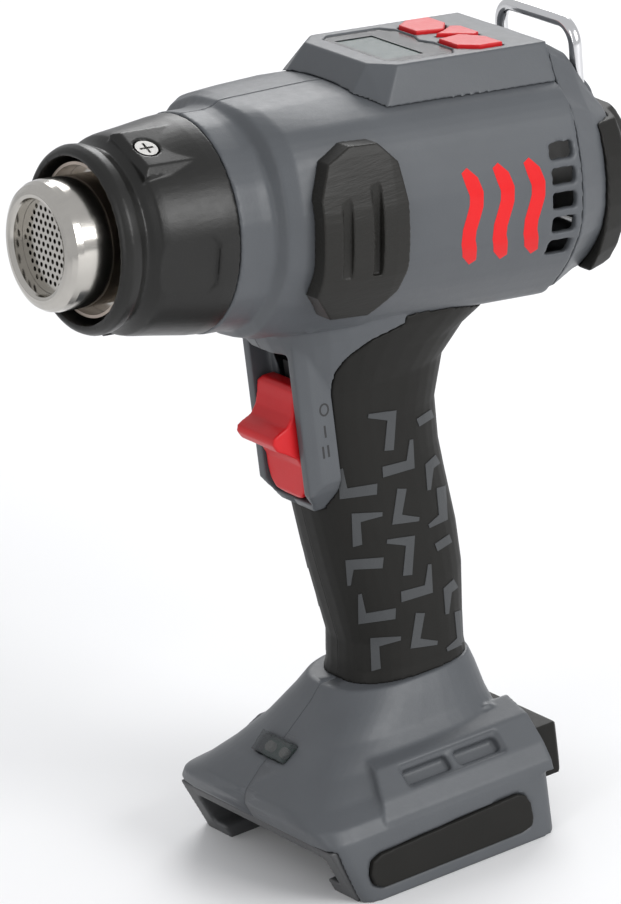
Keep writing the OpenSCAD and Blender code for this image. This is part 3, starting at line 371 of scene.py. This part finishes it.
def skin(name, grids, tree, aim, depth, rise):
    """Plates laid on a surface, from depth under it to rise above it, in millimetres.

    Each grid is rows of points, and aim gives the direction in which a point is thrown onto the surface.
    """
    bm = bmesh.new()
    for grid in grids:
        top, low = [], []
        for row in grid:
            a, b = [], []
            for p in row:
                d = aim(p).normalized()
                hit, normal, _, _ = tree.ray_cast(p - d * THROW_FROM, d, THROW_REACH)
                if hit is None:
                    a.append(None)
                    b.append(None)
                    continue
                if normal.dot(d) > 0:
                    normal = -normal
                a.append(bm.verts.new(hit + normal * rise * MM))
                b.append(bm.verts.new(hit - normal * depth * MM))
            top.append(a)
            low.append(b)
        quads = []
        for i in range(len(grid) - 1):
            for j in range(len(grid[i]) - 1):
                at = ((i, j), (i + 1, j), (i + 1, j + 1), (i, j + 1))
                if all(top[x][y] for x, y in at):
                    bm.faces.new([top[x][y] for x, y in at])
                    bm.faces.new([low[x][y] for x, y in reversed(at)])
                    quads.append(at)
        edges = {}
        for q in quads:
            for k in range(4):
                e = (q[k], q[(k + 1) % 4])
                edges[e] = edges.get(e, 0) + 1
        for (p, q) in edges:
            if (q, p) not in edges:
                bm.faces.new([top[q[0]][q[1]], top[p[0]][p[1]], low[p[0]][p[1]], low[q[0]][q[1]]])
    loose = [v for v in bm.verts if not v.link_faces]
    bmesh.ops.delete(bm, geom=loose, context="VERTS")
    bmesh.ops.recalc_face_normals(bm, faces=bm.faces)
    mesh = bpy.data.meshes.new(name)
    bm.to_mesh(mesh)
    bm.free()
    return new_object(name, mesh)


def strip(points, widths, flat, across=4, step=0.9):
    """Rows of points along a bent bar in a plane, mitred at its bends.

    flat turns (u, v) in millimetres into a point, and step is the spacing of the rows.
    """
    rows = []
    n = len(points)
    normals = []
    for i in range(n):
        a, b = points[max(0, i - 1)], points[min(n - 1, i + 1)]
        t1 = (Vector(points[i]) - Vector(a)).normalized() if i else None
        t2 = (Vector(b) - Vector(points[i])).normalized() if i < n - 1 else None
        t = ((t1 or t2) + (t2 or t1)).normalized()
        side = Vector((t.y, -t.x))
        if t1 and t2:
            side = side / max(0.5, side.dot(Vector((t1.y, -t1.x))))
        normals.append(side)
    for i in range(n - 1):
        a, b = Vector(points[i]), Vector(points[i + 1])
        count = max(1, round((b - a).length / step))
        for k in range(count + (1 if i == n - 2 else 0)):
            f = k / count
            mid, side = a.lerp(b, f), normals[i].lerp(normals[i + 1], f)
            w = widths[i] * (1 - f) + widths[i + 1] * f
            rows.append([flat(*(mid + side * w * (j / across - 0.5))) for j in range(across + 1)])
    return rows


def lay(name, grids, tree, aim, depth, rise, mat):
    """A finished piece of plates on a surface, fixed to the tool."""
    o = skin(name, grids, tree, aim, depth, rise)
    paint(o, mat)
    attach(o, "tool")


SIDES = ((1, "left"), (-1, "right"))
HANDLE_PLANE_Y = 16  # the plane beside the handle in which its bars and marks are drawn
BARREL_PLANE_Y = 38


def beside_handle(side):
    return lambda u, v: on_handle(u, side * HANDLE_PLANE_Y, v)


def beside_barrel(side):
    return lambda u, v: on_barrel(u, side * BARREL_PLANE_Y, v)


def away_from_eye(side):
    """Throws along the line of sight, mirrored for the right side, so that the slanted ends stay square."""
    eye_side = Vector((eye.x, side * eye.y, eye.z))
    return lambda p: p - eye_side


# Angled bars let into the grip: one group that repeats down the handle, and one bar by itself
BARS = [
    [(5.8, 112.8), (3.6, 122.2), (11, 124.3)],
    [(8.6, 107.4), (-0.4, 106.8), (-1.6, 113.6)],
    [(11, 103.3), (21.6, 105.3), (21.4, 112.4)],
    [(3.2, 100.9), (5.9, 92.8), (-1.1, 90.7)],
    [(19.2, 89.5), (18.6, 97.4), (10.3, 95.8)],
    [(-9.2, 118.8), (-4.3, 117.6)],
    [(-9.2, 105.6), (-6.3, 104.4), (-5.3, 97.8)],
    [(-9.2, 97.5), (-8.8, 88.8), (-3.9, 87.7)],
]
LONE_BAR = [(11.9, 82.2), (22.4, 85), (23.3, 79.3)]
REPEAT = (-1.1, -36.6)
BENT_WIDTHS, STRAIGHT_WIDTHS = [3.0, 2.7, 1.1], [2.6, 2.4]

bars = [[(u + REPEAT[0] * k, v + REPEAT[1] * k) for u, v in bar] for k in (0, 1) for bar in BARS] + [LONE_BAR]
for side, name in SIDES:
    grids = []
    for bar in bars:
        widths = BENT_WIDTHS if len(bar) == 3 else STRAIGHT_WIDTHS
        grids.append(strip(bar, widths, beside_handle(side)))
    lay("grip_inlay_" + name, grids, grip_tree, away_from_eye(side), 0.3, 0.22, INLAY)

# Switch positions: a ring, a bar and two bars, on both sides of the switch; laid as flush near-black plates
# whose colour is painted shade in place of engraved grooves
RING_AT, RING_R = (24.4, 130.2), (1.3, 1.6)
BARS_AT = ((24.9, 124.1), (24.6, 118.5), (26.2, 118.5))
shell_tree = surface_tree("housing_left_piece", "housing_right_piece")
for side, name in SIDES:
    flat = beside_handle(side)
    turns = [a / 10 * math.pi for a in range(21)]
    ring = [(RING_AT[0] + RING_R[0] * math.sin(a), RING_AT[1] + RING_R[1] * math.cos(a)) for a in turns]
    grids = [strip(ring, [0.5] * len(ring), flat, across=1)]
    for u, v in BARS_AT:
        grids.append(strip([(u, v - 1.7), (u, v + 1.7)], [0.6, 0.6], flat, across=1))
    lay("switch_marks_" + name, grids, shell_tree, away_from_eye(side), 0.2, 0.03, SHADE_MARK)

# A plain heat symbol on each side of the barrel: three waves that lean forward
WAVE_X, WAVE_APART, WAVE_LOW, WAVE_STEP, WAVE_SWING, WAVE_LEAN = -17, 10, -13, 3.2, 2.2, 0.14
for side, name in SIDES:
    grids = []
    for k in range(3):
        wave = []
        for t in range(9):
            u = WAVE_X - WAVE_APART * k + WAVE_SWING * math.sin(t / 4 * math.pi)
            wave.append((u + WAVE_LEAN * WAVE_STEP * t, WAVE_LOW + WAVE_STEP * t))
        grids.append(strip(wave, [2.2] + [4.4] * 7 + [2.2], beside_barrel(side), step=0.8))
    inward = turn @ Vector((0, -side, 0))
    lay("heat_symbol_" + name, grids, shell_tree, lambda p: inward, 0.2, 0.06, RED_INK)

# ---------------------------------------------------------------- stage
FLOOR_HALF, FLOOR_T = 6000, 20
floor = block("floor", (-FLOOR_HALF, -FLOOR_HALF, -FLOOR_T), (FLOOR_HALF, FLOOR_HALF, 0))
paint(floor, material("floor", (0.86, 0.86, 0.865), 0.6, vary=0.005, vary_scale=3))
world = bpy.data.worlds.new("world")
bpy.context.scene.world = world
world.use_nodes = True
world.node_tree.nodes["Background"].inputs["Color"].default_value = (0.95, 0.96, 0.98, 1)
world.node_tree.nodes["Background"].inputs["Strength"].default_value = 0.7
bpy.context.scene.view_settings.view_transform = "Standard"


def soft_light(name, place, aim, size, power):
    light = bpy.data.lights.new(name, "AREA")
    light.shape = "RECTANGLE"
    light.size, light.size_y = size
    light.energy = power
    o = bpy.data.objects.new(name, light)
    bpy.context.scene.collection.objects.link(o)
    o.location = place
    o.rotation_euler = (Vector(place) - Vector(aim)).to_track_quat("Z", "Y").to_euler()


soft_light("key", (-0.5, 1.4, 0.9), (0, 0, 0.13), (0.8, 0.8), 16)
soft_light("front", (1.3, 0.5, 0.6), (0, 0, 0.14), (0.3, 1.0), 2.5)
soft_light("rim", (-0.9, -0.9, 0.9), (0, 0, 0.14), (0.8, 0.8), 9)
